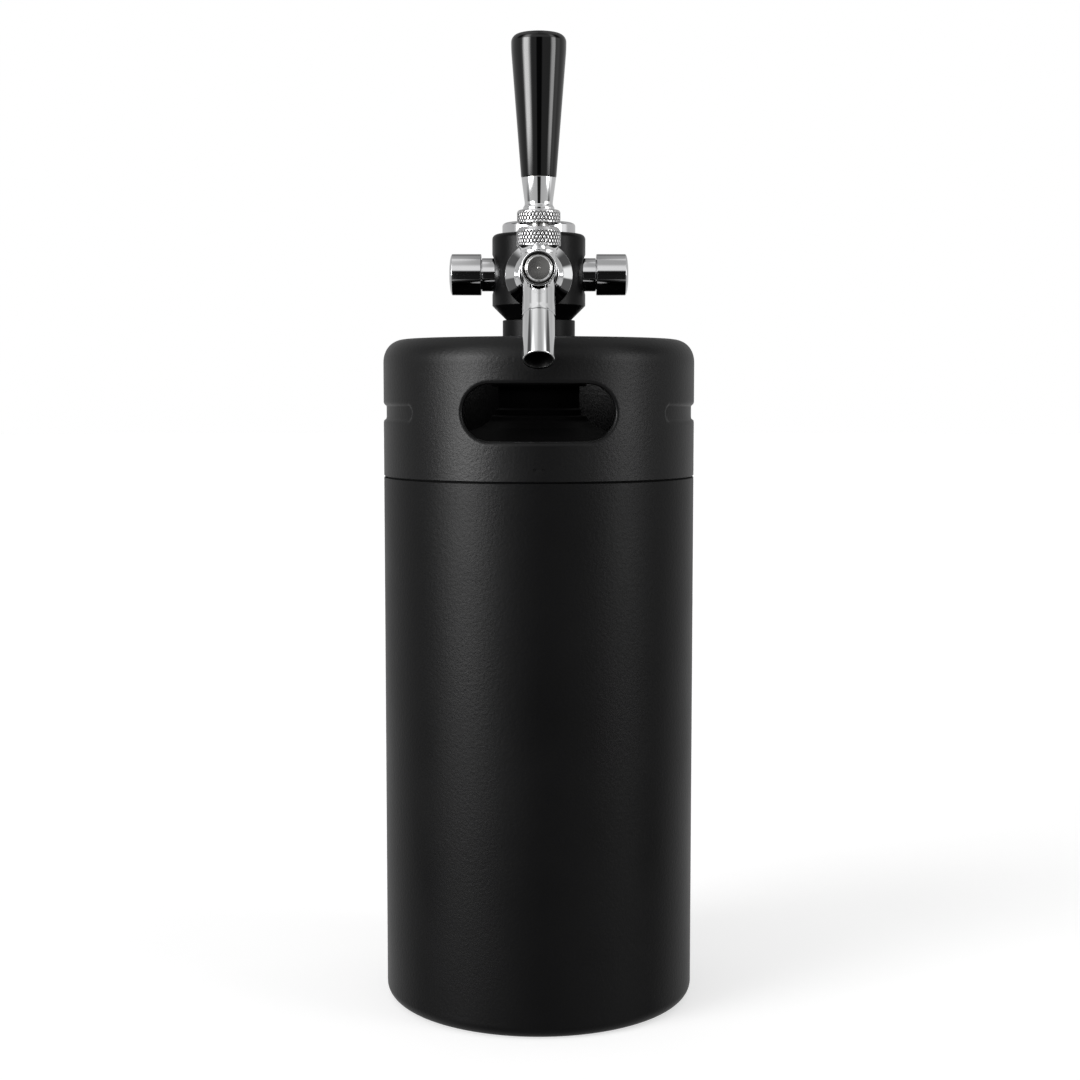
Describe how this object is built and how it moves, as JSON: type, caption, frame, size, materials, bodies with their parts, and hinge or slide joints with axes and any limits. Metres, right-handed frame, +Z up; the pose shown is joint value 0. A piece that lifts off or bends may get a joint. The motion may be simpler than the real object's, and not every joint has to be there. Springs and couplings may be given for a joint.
{
  "type": "mini keg beer dispenser",
  "caption": "Upright double-wall mini keg with a hand-slot collar and a screw-on black tap head carrying a chrome ball-lever faucet, gas inlet and relief valve.",
  "frame": {"origin": "centre of the keg's foot, on the floor plane", "axes": "+Z up along the keg's axis, faucet and hand slot towards -Y, relief knob towards +X"},
  "size_m": [0.16, 0.1813, 0.485],
  "materials": {
    "keg_black": "matte fine-texture powder coat",
    "stainless": "plain stainless",
    "head_black": "satin black anodised",
    "chrome": "polished",
    "seal_rubber": "matte",
    "nylon": "natural",
    "handle_black": "high gloss",
    "brass": "turned"
  },
  "bodies": {
    "keg": {"outer_shell": "keg_black", "base_disc": "keg_black", "inner_vessel": "stainless", "shell_top": "keg_black", "keg_neck": "keg_black", "grip_collar": "keg_black"},
    "tap_head": {"head_body": "head_black", "neck_nipple": "head_black", "neck_gasket": "seal_rubber", "siphon_tube": "stainless", "siphon_seal": "seal_rubber", "top_plug": "chrome", "top_plug_seal": "seal_rubber", "gas_inlet_stem": "chrome", "gas_inlet_spring": "stainless", "relief_stem": "chrome", "relief_spring": "stainless", "shank": "chrome", "coupling_flange": "chrome", "tail_gasket": "seal_rubber", "faucet_body": "chrome", "spout_tube": "chrome", "spout_liner_seal": "seal_rubber", "front_seal": "seal_rubber", "ball_seat": "nylon", "friction_ring": "nylon", "bonnet": "chrome"},
    "lock": {"lock_ring": "head_black"},
    "inlet_cap": {"gas_inlet_cap": "chrome"},
    "inlet_pin": {"gas_inlet_pin": "stainless", "gas_inlet_seal": "seal_rubber"},
    "relief": {"relief_knob": "chrome", "relief_spindle": "stainless", "relief_seal": "seal_rubber"},
    "shaft": {"valve_shaft": "stainless", "shaft_washer": "seal_rubber"},
    "lever": {"ball_lever": "stainless", "lever_collar": "chrome", "handle_ferrule": "chrome", "handle_insert": "brass", "tap_handle": "handle_black"}
  },
  "joints": [
    {"name": "head_lift", "type": "slide", "parent": "keg", "child": "tap_head", "axis": [0, 0, 1], "range_m": [0, 0.34]},
    {"name": "lock_ring_turn", "type": "hinge", "parent": "tap_head", "child": "lock", "pos_m": [0, 0, 0.335], "axis": [0, 0, 1], "continuous": true},
    {"name": "lever_pull", "type": "hinge", "parent": "tap_head", "child": "lever", "pos_m": [0, -0.061, 0.38655], "axis": [1, 0, 0], "range_deg": [0, 20]},
    {"name": "shaft_slide", "type": "slide", "parent": "tap_head", "child": "shaft", "axis": [0, 1, 0], "range_m": [0, 0.0046]},
    {"name": "relief_pull", "type": "slide", "parent": "tap_head", "child": "relief", "axis": [1, 0, 0], "range_m": [0, 0.003], "stiffness_N_per_m": 800, "springref_m": -0.004, "deforming": ["relief_spring"]},
    {"name": "inlet_pin_press", "type": "slide", "parent": "tap_head", "child": "inlet_pin", "axis": [1, 0, 0], "range_m": [0, 0.002], "stiffness_N_per_m": 500, "springref_m": -0.003, "deforming": ["gas_inlet_spring"]},
    {"name": "inlet_cap_off", "type": "slide", "parent": "tap_head", "child": "inlet_cap", "axis": [-1, 0, 0], "range_m": [0, 0.05]}
  ],
  "couplings": [
    {"joint": "shaft_slide", "follows": "lever_pull", "m_per_rad": 0.01288}
  ]
}
